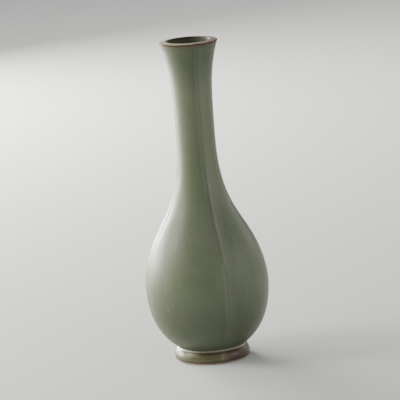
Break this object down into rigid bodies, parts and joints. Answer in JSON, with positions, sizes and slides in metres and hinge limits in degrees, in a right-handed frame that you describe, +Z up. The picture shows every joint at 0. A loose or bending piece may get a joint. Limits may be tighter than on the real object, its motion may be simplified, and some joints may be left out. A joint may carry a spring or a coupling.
{
  "type": "sake bottle",
  "caption": "Pear-shaped celadon stoneware sake bottle with shallow lobes, a long flared neck, an iron-brown lip and a footed base.",
  "frame": {"origin": "centre of the plane the foot ring rests on", "axes": "+Z up along the bottle's axis towards the mouth; +X and +Y through the middles of two neighbouring lobes, so the creases between lobes stand on the diagonals"},
  "size_m": [0.0846, 0.0846, 0.22],
  "materials": {
    "stoneware": "matte",
    "celadon": "satin",
    "inner_celadon": "gloss",
    "lip_iron_glaze": "satin",
    "foot_iron_glaze": "gloss"
  },
  "bodies": {
    "root": {"foot_ring": "stoneware", "foot_glaze": "foot_iron_glaze", "floor_slab": "stoneware", "wall_panel_right": "stoneware", "wall_panel_back": "stoneware", "wall_panel_left": "stoneware", "wall_panel_front": "stoneware", "lip_ring": "stoneware", "lip_glaze": "lip_iron_glaze", "outer_glaze": "celadon", "inner_glaze": "inner_celadon"}
  },
  "joints": []
}
